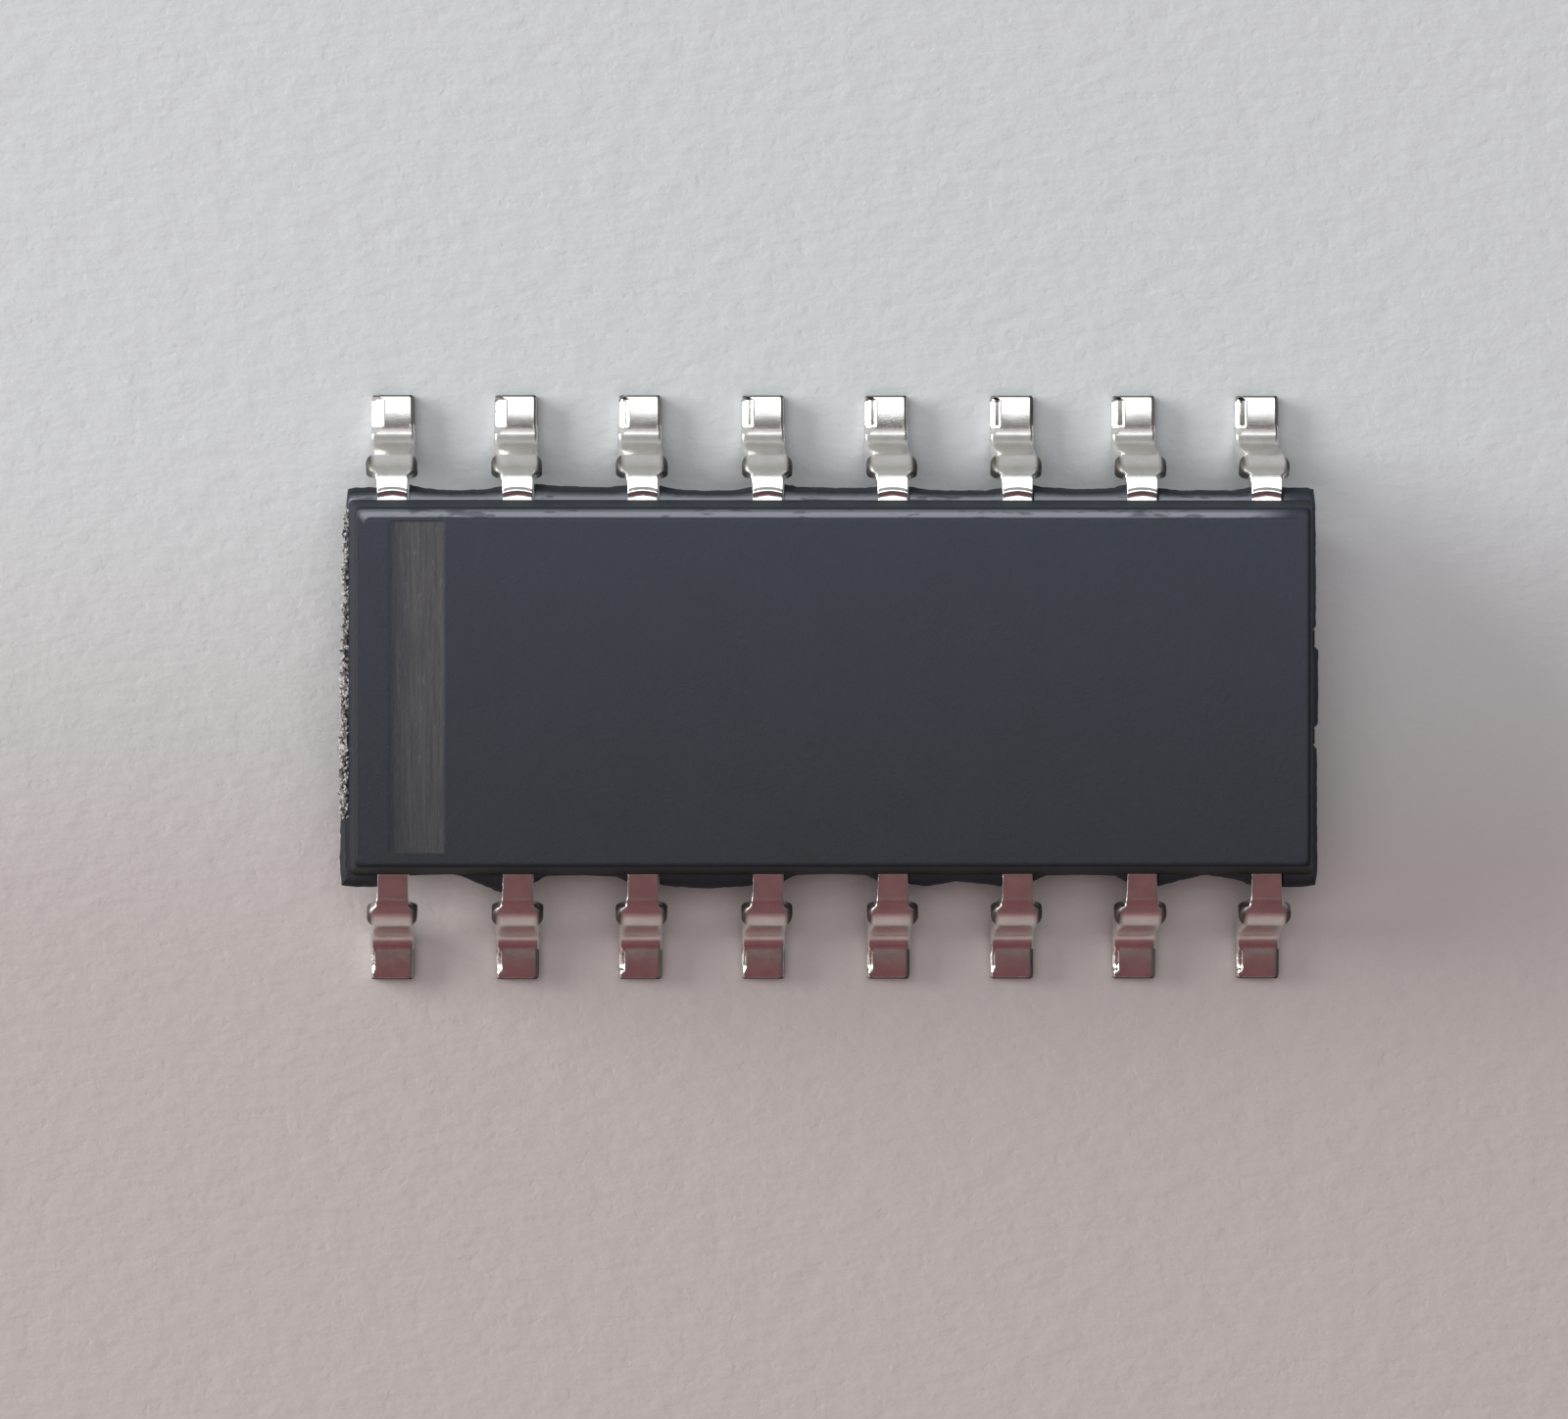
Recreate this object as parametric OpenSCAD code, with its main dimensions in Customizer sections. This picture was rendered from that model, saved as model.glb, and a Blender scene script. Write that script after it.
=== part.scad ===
// Small-outline integrated circuit: 16 gull-wing leads in a narrow moulded body.
// The origin is on the seating plane, under the centre of the body.
// X runs along the body, Y across it and Z up from the board.
// Leads 1 to 8 leave the -Y side in order of X, leads 9 to 16 come back along the +Y side.

/* [Moulded body] */
// Length of the body at the parting line
body_l = 9.8; // [9.7:0.05:10]
// Width of the body at the parting line
body_w = 3.8; // [3.7:0.05:4]
// Height of the body from its underside to its top
body_h = 1.45; // [1.35:0.05:1.55]
// Height of the parting line above the underside
parting_h = 0.825; // [0.75:0.025:0.9]
// Gap between the underside and the board
standoff = 0.15; // [0.1:0.01:0.25]
// Lean of the moulded walls from the vertical, in degrees
draft = 10; // [6:1:14]
// Radius along the top and bottom edges
edge_r = 0.07; // [0.02:0.01:0.08]

/* [Leads] */
// Distance between the centres of two leads
pitch = 1.27; // [1.24:0.01:1.29]
// Thickness of the leadframe sheet
sheet_t = 0.2; // [0.15:0.01:0.25]
// Distance across both rows, from lead tip to lead tip
tip_span = 6; // [5.8:0.05:6.2]
// Width of a lead from its dambar stub to its tip
lead_w = 0.42; // [0.36:0.01:0.48]
// Width of a lead where it leaves the body
neck_w = 0.31; // [0.26:0.01:0.34]
// Width of a lead where its dambar stubs start
throat_w = 0.34; // [0.3:0.01:0.38]
// Width across the two dambar stubs of a lead
stub_w = 0.5; // [0.49:0.01:0.56]
// Length of a dambar stub along the lead
stub_l = 0.18; // [0.1:0.01:0.2]
// Distance from the body wall to a dambar stub
stub_gap = 0.24; // [0.2:0.01:0.32]
// Flat length of the solder foot
foot_l = 0.36; // [0.3:0.01:0.4]
// Inside radius of the bend below the shoulder
shoulder_r = 0.08; // [0.06:0.01:0.12]
// Inside radius of the bend above the foot
ankle_r = 0.12; // [0.06:0.01:0.14]
// Lean of the shank from the vertical, in degrees
shank_lean = 6; // [2:1:10]

/* [Leadframe inside the body] */
// Length of the die paddle
paddle_l = 2.6; // [2.4:0.05:2.7]
// Width of the die paddle
paddle_w = 1.8; // [1.6:0.05:1.85]
// Depth of the paddle below the plane of the leads
paddle_drop = 0.15; // [0.05:0.01:0.2]
// Width of a finger towards the die
finger_w = 0.24; // [0.16:0.01:0.26]
// Gap between the fingertips and the edge of the paddle
fingertip_gap = 0.2; // [0.15:0.01:0.25]
// Distance between fingertips along the paddle's short side
fingertip_pitch = 0.36; // [0.34:0.01:0.38]
// Distance from the body wall to the turn of a finger
turn_in = 0.6; // [0.55:0.01:0.65]
// Width across the ears that lock a lead in the body
ear_w = 0.46; // [0.4:0.01:0.5]
// Length of the ears along the lead
ear_l = 0.14; // [0.1:0.01:0.18]
// Distance from the body wall to the ears
ear_in = 0.3; // [0.25:0.01:0.35]
// Width of the stem that carries the paddle
stem_w = 0.2; // [0.14:0.01:0.24]
// Width of each leg of the forked tie bar
tie_w = 0.16; // [0.12:0.01:0.2]
// Distance between the two legs of a tie bar
tie_span = 1; // [0.8:0.05:1.1]
// Length of the tie bar's legs inside the body
tie_l = 0.7; // [0.6:0.05:0.8]
// Distance that the cut legs stand out of the body
tie_stub = 0.02; // [0.01:0.005:0.04]

/* [Die and bond wires] */
// Length of the silicon die
die_l = 1.5; // [1.3:0.05:1.6]
// Width of the silicon die
die_w = 1.1; // [0.9:0.05:1.2]
// Thickness of the silicon die
die_t = 0.28; // [0.2:0.01:0.3]
// Thickness of the adhesive under the die
glue_t = 0.025; // [0.015:0.005:0.04]
// Width of the adhesive that shows around the die
glue_rim = 0.05; // [0.02:0.01:0.08]
// Distance from the edge of the die to its bond pads
bond_in = 0.1; // [0.08:0.01:0.13]
// Diameter of a bond wire
wire_d = 0.03; // [0.025:0.001:0.035]
// Diameter of the ball at the die end of a wire
ball_d = 0.08; // [0.06:0.005:0.09]
// Height of the ball
ball_h = 0.02; // [0.015:0.001:0.025]
// Diameter of the stitch at the lead end of a wire
stitch_d = 0.07; // [0.05:0.005:0.08]
// Height of the stitch
stitch_h = 0.01; // [0.006:0.001:0.012]
// Distance from a fingertip to its stitch
stitch_in = 0.11; // [0.09:0.01:0.14]
// Height that a wire rises straight above its ball
loop_rise = 0.1; // [0.06:0.01:0.12]
// Radius of the bend at the top of a wire
loop_r = 0.06; // [0.04:0.01:0.08]

/* [Moulding flash and marks] */
// Distance that the flash between the leads stands out of the body
side_flash = 0.13; // [0.1:0.01:0.16]
// Depth of the hollow in the edge of that flash
flash_hollow = 0.05; // [0.02:0.01:0.07]
// Distance that the flash stands out of the two ends
end_flash = 0.05; // [0.03:0.01:0.07]
// Distance that the broken gate stands out past the end flash
gate_l = 0.02; // [0.01:0.005:0.04]
// Width of the notch in the end flash at each leg of the tie bar
notch_w = 0.17; // [0.16:0.01:0.2]
// Width of the pin 1 stripe
stripe_w = 0.5; // [0.3:0.05:0.6]
// Distance from the end of the body to the stripe
stripe_in = 0.49; // [0.35:0.01:0.6]
// Depth of the stripe
stripe_depth = 0.012; // [0.005:0.001:0.02]
// Diameter of the ejector pin marks in the underside
ejector_d = 1; // [0.8:0.1:1.4]
// Depth of the ejector pin marks
ejector_depth = 0.03; // [0.01:0.005:0.05]
// Distance between the centres of the ejector pin marks
ejector_span = 5.6; // [5:0.1:6]

/* [Hidden] */
$fn = 48;
side_leads = 8;
lead_count = 2 * side_leads;
// Space that a cutting shape takes beyond the face that it cuts
spare = 0.1;
// Overlap that joins a straight stretch to the bend that it runs into
lap = 0.0005;
// A bond wire is this much thinner where it is straight, so that each stretch ends inside the bend
wire_draw = 0.001;

body_low = standoff;
body_high = standoff + body_h;
lead_high = standoff + parting_h;
lead_low = lead_high - sheet_t;
paddle_high = lead_high - paddle_drop;
glue_high = paddle_high + glue_t;
die_high = glue_high + die_t;

wall_y = body_w / 2;
ear_y = wall_y - ear_in;
turn_y = wall_y - turn_in;
stub_y = wall_y + stub_gap;
tip_y = tip_span / 2;

// The side view of a lead, as the middle line of the sheet from shoulder to foot
turn = 90 - shank_lean;
shoulder_mid_r = shoulder_r + sheet_t / 2;
ankle_mid_r = ankle_r + sheet_t / 2;
shank_high = lead_low - shoulder_r + shoulder_mid_r * cos(turn);
shank_low = sheet_t + ankle_r - ankle_mid_r * cos(turn);
shank_l = (shank_high - shank_low) / sin(turn);
ankle_y = tip_y - foot_l;
shank_y = ankle_y - ankle_mid_r * sin(turn) - shank_l * cos(turn);
shoulder_y = shank_y - shoulder_mid_r * sin(turn);

// The paddle hangs below the leads on a stem, which forks into two legs
stem_x = paddle_l / 2;
drop_start_x = stem_x + sheet_t / 2;
drop_end_x = drop_start_x + paddle_drop + sheet_t / 2;
fork_x = body_l / 2 - tie_l;

LEADS = [1:lead_count];

// Place of a lead: its column counted from -X, the side that it leaves and its middle
function column(i) = i <= side_leads ? i - 1 : lead_count - i;
function side(i) = i <= side_leads ? -1 : 1;
function lead_x(i) = (column(i) - (side_leads - 1) / 2) * pitch;
function quarter(i) = [sign(lead_x(i)), side(i)];
function each_way(point, i) = [point.x * quarter(i).x, point.y * quarter(i).y];
// Rank of a lead from the middle of its row: 0 for the two middle leads, 3 for the outer ones
function rank(i) = abs(column(i) - (side_leads - 1) / 2) - 0.5;

// Fingertips of one quarter of the leadframe, in order of rank
fingertips = [
    [pitch / 2, paddle_w / 2 + fingertip_gap],
    [paddle_l / 2, paddle_w / 2 + fingertip_gap],
    [paddle_l / 2 + fingertip_gap, 2 * fingertip_pitch],
    [paddle_l / 2 + fingertip_gap, fingertip_pitch]
];
// Bond pads of one quarter of the die, in the same order
bond_pads = [
    [die_l / 6, die_w / 2 - bond_in],
    [die_l / 2 - 2 * bond_in, die_w / 2 - bond_in],
    [die_l / 2 - bond_in, die_w / 4],
    [die_l / 2 - bond_in, ball_d]
];

function finger_path(i) = [
    [lead_x(i), side(i) * (ear_y - ear_l / 2)],
    [lead_x(i), side(i) * turn_y],
    each_way(fingertips[rank(i)], i)
];
function along(a, b) = (b - a) / norm(b - a);
function stitch_point(i) =
    let (path = finger_path(i))
    path[2] + stitch_in * along(path[2], path[1]);

// A band of even width along a path, with mitred corners
function left_of(v) = [-v.y, v.x];
function mitre(a, b, c) =
    let (first = left_of(along(a, b)), middle = first + left_of(along(b, c)))
    middle / (middle * first);
function band_edge(path, offset) = [
    for (i = [0:len(path) - 1])
        path[i] + offset * (
            i == 0 ? left_of(along(path[0], path[1]))
            : i == len(path) - 1 ? left_of(along(path[i - 1], path[i]))
            : mitre(path[i - 1], path[i], path[i + 1])
        )
];
function backwards(list) = [for (i = [len(list) - 1:-1:0]) list[i]];
module band(path, width) {
    polygon(concat(band_edge(path, width / 2), backwards(band_edge(path, -width / 2))));
}

module ring_sector(inner_r, outer_r, from, to) {
    reach = 2 * outer_r;
    intersection() {
        difference() {
            circle(outer_r);
            circle(inner_r);
        }
        polygon([[0, 0], reach * [cos(from), sin(from)], reach * [cos(to), sin(to)]]);
    }
}

// Draws a side view, given as across and up, for a length along X or along Y
module along_x(length) {
    translate([-length / 2, 0, 0]) rotate([90, 0, 90]) linear_extrude(length) children();
}
module along_y(length) {
    translate([0, length / 2, 0]) rotate([90, 0, 0]) linear_extrude(length) children();
}

// ---- Leads ----

module lead_side_view() {
    translate([ear_y, lead_low]) square([shoulder_y - ear_y, sheet_t]);
    translate([shoulder_y, lead_low - shoulder_r])
        ring_sector(shoulder_r, shoulder_r + sheet_t, 90 - turn, 90);
    translate([shank_y, shank_high]) rotate(-turn)
        translate([-lap, -sheet_t / 2]) square([shank_l + 2 * lap, sheet_t]);
    translate([ankle_y, sheet_t + ankle_r])
        ring_sector(ankle_r, ankle_r + sheet_t, 270 - turn, 270);
    translate([ankle_y, 0]) square([foot_l, sheet_t]);
}

module lead_top_view() {
    half = [
        [neck_w / 2, ear_y],
        [neck_w / 2, wall_y],
        [throat_w / 2, stub_y],
        [throat_w / 2, stub_y + stub_l]
    ];
    polygon(concat(half, [for (p = backwards(half)) [-p.x, p.y]]));
    translate([-stub_w / 2, stub_y]) square([stub_w, stub_l]);
    translate([-lead_w / 2, stub_y + stub_l / 2]) square([lead_w, tip_y - stub_y - stub_l / 2]);
}

module lead_outside() {
    intersection() {
        along_x(stub_w + 2 * spare) lead_side_view();
        translate([0, 0, -spare]) linear_extrude(lead_high + 2 * spare) lead_top_view();
    }
}

module lead_inside(i) {
    translate([0, 0, lead_low]) linear_extrude(sheet_t) {
        band(finger_path(i), finger_w);
        translate([lead_x(i), side(i) * (ear_y - ear_l / 2)]) square([ear_w, ear_l], center = true);
    }
}

module lead(i) {
    color("silver") {
        translate([lead_x(i), 0, 0]) rotate([0, 0, side(i) > 0 ? 0 : 180]) lead_outside();
        lead_inside(i);
    }
}

// ---- Die paddle, die and bond wires ----

module stem() {
    middle = [paddle_high - sheet_t / 2, lead_high - sheet_t / 2];
    along_y(stem_w)
        band([
            [stem_x - sheet_t / 2, middle[0]],
            [drop_start_x, middle[0]],
            [drop_end_x, middle[1]],
            [fork_x, middle[1]]
        ], sheet_t);
}

module tie_fork() {
    translate([0, 0, lead_low]) linear_extrude(sheet_t) {
        translate([fork_x - tie_w, -(tie_span + tie_w) / 2]) square([tie_w, tie_span + tie_w]);
        for (y = [-1, 1] * tie_span / 2)
            translate([fork_x - tie_w, y - tie_w / 2]) square([tie_l + tie_w + tie_stub, tie_w]);
    }
}

module die_paddle() {
    color("goldenrod") {
        translate([-paddle_l / 2, -paddle_w / 2, paddle_high - sheet_t])
            cube([paddle_l, paddle_w, sheet_t]);
        for (turned = [0, 180]) rotate([0, 0, turned]) {
            stem();
            tie_fork();
        }
    }
}

module die_attach() {
    color("dimgray")
        translate([-die_l / 2 - glue_rim, -die_w / 2 - glue_rim, paddle_high])
        cube([die_l + 2 * glue_rim, die_w + 2 * glue_rim, glue_t]);
}

module die() {
    color("slateblue")
        translate([-die_l / 2, -die_w / 2, glue_high]) cube([die_l, die_w, die_t]);
}

// A wire rises from its ball, bends over and runs straight down to its stitch on the finger
module bond_wire(i) {
    from = each_way(bond_pads[rank(i)], i);
    way = stitch_point(i) - from;
    span = norm(way);
    end_z = lead_high - die_high;
    bend = [loop_r, ball_h + loop_rise];
    to_end = [span, end_z] - bend;
    over = atan2(to_end.y, to_end.x) + acos(loop_r / norm(to_end));
    run = sqrt(to_end * to_end - loop_r * loop_r);
    leave = bend + loop_r * [cos(over), sin(over)];
    color("gold")
        translate([from.x, from.y, die_high]) rotate([0, 0, atan2(way.y, way.x)]) {
        cylinder(d = ball_d, h = ball_h);
        cylinder(d = wire_d - wire_draw, h = bend.y + lap);
        translate([bend.x, 0, bend.y]) rotate([90, 0, 0]) rotate([0, 0, over])
            rotate_extrude(angle = 180 - over) translate([loop_r, 0]) circle(d = wire_d);
        difference() {
            translate([leave.x, 0, leave.y]) rotate([0, 180 - over, 0])
                translate([0, 0, -lap]) cylinder(d = wire_d - wire_draw, h = run + wire_d);
            translate([span - spare, -spare, end_z - 2 * spare]) cube(2 * spare);
        }
        translate([span, 0, end_z]) cylinder(d = stitch_d, h = stitch_h);
    }
}

// ---- Moulded body ----

// Outline of the body from one side: half its width at the parting line, with drafted walls
module drafted_outline(half) {
    top = half - (body_high - lead_high) * tan(draft);
    bottom = half - (lead_high - body_low) * tan(draft);
    cut = edge_r / tan(45 + draft / 2);
    wall = cut * [sin(draft), cos(draft)];
    corner = [
        [bottom - cut, body_low],
        [bottom + wall.x, body_low + wall.y],
        [half, lead_high],
        [top + wall.x, body_high - wall.y],
        [top - cut, body_high]
    ];
    polygon(concat(corner, [for (p = backwards(corner)) [-p.x, p.y]]));
    for (s = [-1, 1]) {
        translate([s * (bottom - cut), body_low + edge_r]) circle(edge_r);
        translate([s * (top - cut), body_high - edge_r]) circle(edge_r);
    }
}

module drafted_block() {
    intersection() {
        along_x(body_l + 2 * spare) drafted_outline(body_w / 2);
        along_y(body_w + 2 * spare) drafted_outline(body_l / 2);
    }
}

// Flash is left as thick as the sheet, where the two mould halves close on the leadframe
module flash_top_view() {
    gap = pitch - neck_w;
    hollow_r = (gap * gap / 4 + flash_hollow * flash_hollow) / (2 * flash_hollow);
    end_x = body_l / 2 + end_flash;
    difference() {
        union() {
            square([2 * end_x, body_w + 2 * side_flash], center = true);
            translate([0, -tie_span / 2]) square([end_x + gate_l, tie_span]);
        }
        for (c = [1:side_leads - 1], s = [-1, 1])
            translate([
                (c - side_leads / 2) * pitch,
                s * (wall_y + side_flash - flash_hollow + hollow_r)
            ]) circle(hollow_r);
        for (s = [-1, 1])
            translate([body_l / 2, s * tie_span / 2 - notch_w / 2])
                square([end_flash + 2 * spare, notch_w]);
    }
}

module marks() {
    translate([stripe_in - body_l / 2, -body_w / 2, body_high - stripe_depth])
        cube([stripe_w, body_w, stripe_depth + spare]);
    for (s = [-1, 1])
        translate([s * ejector_span / 2, 0, body_low - spare])
            cylinder(d = ejector_d, h = ejector_depth + spare);
}

module mould_body() {
    color([0.22, 0.24, 0.27])
    difference() {
        union() {
            drafted_block();
            translate([0, 0, lead_low]) linear_extrude(sheet_t) flash_top_view();
        }
        marks();
        die_paddle();
        die_attach();
        die();
        for (i = LEADS) {
            lead(i);
            bond_wire(i);
        }
    }
}

mould_body();
die_paddle();
die_attach();
die();
for (i = LEADS) {
    lead(i);
    bond_wire(i);
}
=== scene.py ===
"""Small-outline chip: moulded body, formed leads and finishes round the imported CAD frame."""
import math

import bpy
import numpy as np
from bpy.props import FloatProperty, FloatVectorProperty, IntProperty, PointerProperty
from mathutils import Matrix, Vector, noise


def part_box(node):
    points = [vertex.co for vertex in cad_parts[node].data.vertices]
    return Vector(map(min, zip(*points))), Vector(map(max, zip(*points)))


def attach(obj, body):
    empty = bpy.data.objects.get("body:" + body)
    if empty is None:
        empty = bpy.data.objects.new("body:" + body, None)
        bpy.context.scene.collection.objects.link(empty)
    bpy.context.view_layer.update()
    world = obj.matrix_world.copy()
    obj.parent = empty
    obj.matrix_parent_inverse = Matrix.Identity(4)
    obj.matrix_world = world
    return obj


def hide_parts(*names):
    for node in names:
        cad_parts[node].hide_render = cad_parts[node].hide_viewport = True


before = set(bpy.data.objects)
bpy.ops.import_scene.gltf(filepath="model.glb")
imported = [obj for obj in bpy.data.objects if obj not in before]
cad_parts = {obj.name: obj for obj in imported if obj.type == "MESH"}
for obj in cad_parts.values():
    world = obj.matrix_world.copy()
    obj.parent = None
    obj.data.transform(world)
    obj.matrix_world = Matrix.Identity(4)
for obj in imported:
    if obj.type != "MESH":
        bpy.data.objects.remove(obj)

bl_info = {
    "name": "Small-Outline Chip",
    "version": (1, 0, 0),
    "blender": (4, 5, 0),
    "location": "View3D > Sidebar > Chip",
    "description": "Builds a 16-lead small-outline chip with its moulded body, leads and inside",
    "category": "Add Mesh",
}

MM = 0.001
SIDE_LEADS = 8
LEAD_COUNT = 2 * SIDE_LEADS


def corners(node):
    """Lowest and highest corner of a CAD node, in millimetres."""
    low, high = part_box(node)
    return Vector(low) / MM, Vector(high) / MM


BODY_LOW, BODY_HIGH = corners("mould_body")
FIRST_LOW, FIRST_HIGH = corners("lead_1")
PITCH = round(corners("lead_2")[0].x - FIRST_LOW.x, 4)
TIP_Y = -FIRST_LOW.y
LEAD_HIGH = FIRST_HIGH.z

# Values below are in millimetres unless a line says otherwise
SHEET = 0.2
WALL_Y = 1.9
TIE_Y = 0.5
# The fourth mask makes the walls and fillet matte and darkens them as painted shade
BODY_MASKS = ("flash", "broken", "marked", "dull")
LEAD_MASKS = ("sheared", "strained")


def column_x(column):
    """Place of a column of leads along the body, counted from 0 at the left."""
    return (column - (SIDE_LEADS - 1) / 2) * PITCH


def length(name, description, default):
    """A size in metres, given in millimetres."""
    return FloatProperty(name=name, description=description, default=default * MM,
                         unit="LENGTH", precision=6)


def colour(name, description, default):
    return FloatVectorProperty(name=name, description=description, default=default,
                               subtype="COLOR", size=3, min=0, max=1)


def power(name, description, default):
    return FloatProperty(name=name, description=description, default=default, min=0)


def angle(name, description, default):
    return FloatProperty(name=name, description=description, default=math.radians(default),
                         subtype="ANGLE")


def share(name, description, default):
    return FloatProperty(name=name, description=description, default=default,
                         subtype="FACTOR", min=0, max=1)


# ---- settings

class ChipBodySettings(bpy.types.PropertyGroup):
    half_length: length("Half Length", "Half the body's length at the parting line", 4.9)
    half_width: length("Half Width", "Half the body's width at the parting line", 1.9)
    side_draft: angle("Side Draft", "Lean of the long walls", 8.5)
    end_draft: angle("End Draft", "Lean of the end walls", 8)
    edge_radius: length("Edge Radius", "Radius along the top and bottom edges", 0.045)
    # On the far side this band falls a little and carries the painted edge highlight
    brow: length("Brow", "Width of the worn band along the edge of the top", 0.06)
    sheet: length("Sheet", "Thickness of the leadframe sheet and of the flash", 0.2)
    side_flash: length("Side Flash", "Reach of the flash between the leads", 0.13)
    end_flash: length("End Flash", "Reach of the flash at the two ends", 0.05)
    break_depth: length("Break Depth", "How rough the broken edges of the flash are", 0.016)
    break_grain: length("Break Grain", "Size of the broken edge's crumbs", 0.06)
    stripe_from: length("Stripe From", "Distance from the body's middle to the stripe", 3.9)
    stripe_width: length("Stripe Width", "Width of the pin 1 stripe", 0.52)
    stripe_depth: length("Stripe Depth", "Depth of the pin 1 stripe", 0.012)
    crumbs: IntProperty(name="Crumbs", description="Number of crumbs on the torn end", default=420)
    seed: IntProperty(name="Seed", description="Seed of the broken edges", default=7)
    compound: colour("Compound", "Colour of the moulding compound", (0.016, 0.023, 0.034))
    stripe: colour("Stripe", "Colour of the burnt stripe", (0.092, 0.094, 0.096))
    crumb: colour("Crumb", "Colour of the torn compound at the left end", (0.55, 0.54, 0.52))
    roughness: share("Roughness", "Roughness of the moulded faces", 0.5)
    gloss: share("Flash Roughness", "Roughness of the smooth flash", 0.2)


class ChipLeadSettings(bpy.types.PropertyGroup):
    neck_width: length("Neck Width", "Width where a lead leaves the body", 0.3)
    throat_width: length("Throat Width", "Width just before the dambar stubs", 0.315)
    stub_width: length("Stub Width", "Width across the dambar stubs", 0.5)
    blade_width: length("Blade Width", "Width of the shank and the foot", 0.44)
    foot: length("Foot", "Flat length of the far row's feet", 0.38)
    near_step: length("Near Step", "How much further out the near row is bent", 0.06)
    shoulder_radius: length("Shoulder Radius", "Middle radius of the upper bend", 0.2)
    ankle_radius: length("Ankle Radius", "Middle radius of the lower bend", 0.24)
    shank_lean: angle("Shank Lean", "Lean of the shank from upright", 12)
    shift: length("Shift", "Place of the leadframe along the body", -0.012)
    skew: length("Skew", "How far the feet lean along the body", -0.022)
    crown: length("Crown", "Radius of the foot's crowned top", 4.8)
    edge_radius: length("Edge Radius", "Rounding of the foot's upper edges", 0.05)
    facet: length("Facet", "Width of the worn facet along the foot's left edge", 0.13)
    unevenness: length("Unevenness", "Waviness of the plated surface", 0.0014)
    seed: IntProperty(name="Seed", description="Seed of the small differences", default=3)
    plating: colour("Plating", "Colour of the tin plating", (0.80, 0.79, 0.76))
    roughness: share("Roughness", "Roughness of the tin plating", 0.10)


class ChipStageSettings(bpy.types.PropertyGroup):
    paper_far: colour("Far Paper", "Colour of the floor behind the chip", (0.640, 0.690, 0.712))
    paper_near: colour("Near Paper", "Colour of the floor before the chip", (0.505, 0.480, 0.472))
    height: length("Camera Height", "Height of the camera above the floor", 64)
    lens: FloatProperty(name="Lens", description="Focal length of the camera in millimetres",
                        default=142.5)
    window: power("Window", "Power of the low window light in watts", 0.36)
    softbox: power("Softbox", "Power of the light that the metal mirrors, in watts", 0.12)
    fill: power("Fill", "Power of the even light overhead in watts", 0.28)


# ---- helpers

def clamp(value, low=0.0, high=1.0):
    return float(np.clip(value, low, high))


def shade(base, share):
    """A darker or lighter shade of a colour."""
    return tuple(share * c for c in base)


def thin(values, closest):
    """The values in order, without any that stand too close to the one before."""
    kept = []
    for value in sorted(values):
        if not kept or value - kept[-1] > closest:
            kept.append(value)
    return kept


def ring_faces(rings, size, turned=False):
    """Quads between closed rings of points."""
    faces = []
    for r in range(rings - 1):
        a, b = r * size, (r + 1) * size
        for k in range(size):
            n = (k + 1) % size
            faces.append((a + k, b + k, b + n, a + n) if turned else (a + k, a + n, b + n, b + k))
    return faces


def new_piece(name, points, faces, masks=None):
    """A mesh object at the origin, from points in millimetres and masks with a value for each."""
    mesh = bpy.data.meshes.new(name)
    mesh.from_pydata([tuple(p) for p in np.asarray(points, float) * MM], [], faces)
    mesh.validate()
    for mask, values in (masks or {}).items():
        layer = mesh.attributes.new(mask, "FLOAT", "POINT")
        layer.data.foreach_set("value", np.array(values, np.float32))
    piece = bpy.data.objects.new(name, mesh)
    bpy.context.scene.collection.objects.link(piece)
    return piece


def bake_modifiers(piece, sharp_degrees):
    """Turns a piece with its modifiers into a plain mesh, shaded smooth up to the sharp angle."""
    bpy.context.view_layer.update()
    evaluated = piece.evaluated_get(bpy.context.evaluated_depsgraph_get())
    mesh = bpy.data.meshes.new_from_object(evaluated)
    mesh.name = piece.name
    old = piece.data
    piece.modifiers.clear()
    piece.data = mesh
    bpy.data.meshes.remove(old)
    mesh.shade_smooth()
    mesh.set_sharp_from_angle(angle=math.radians(sharp_degrees))


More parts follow.
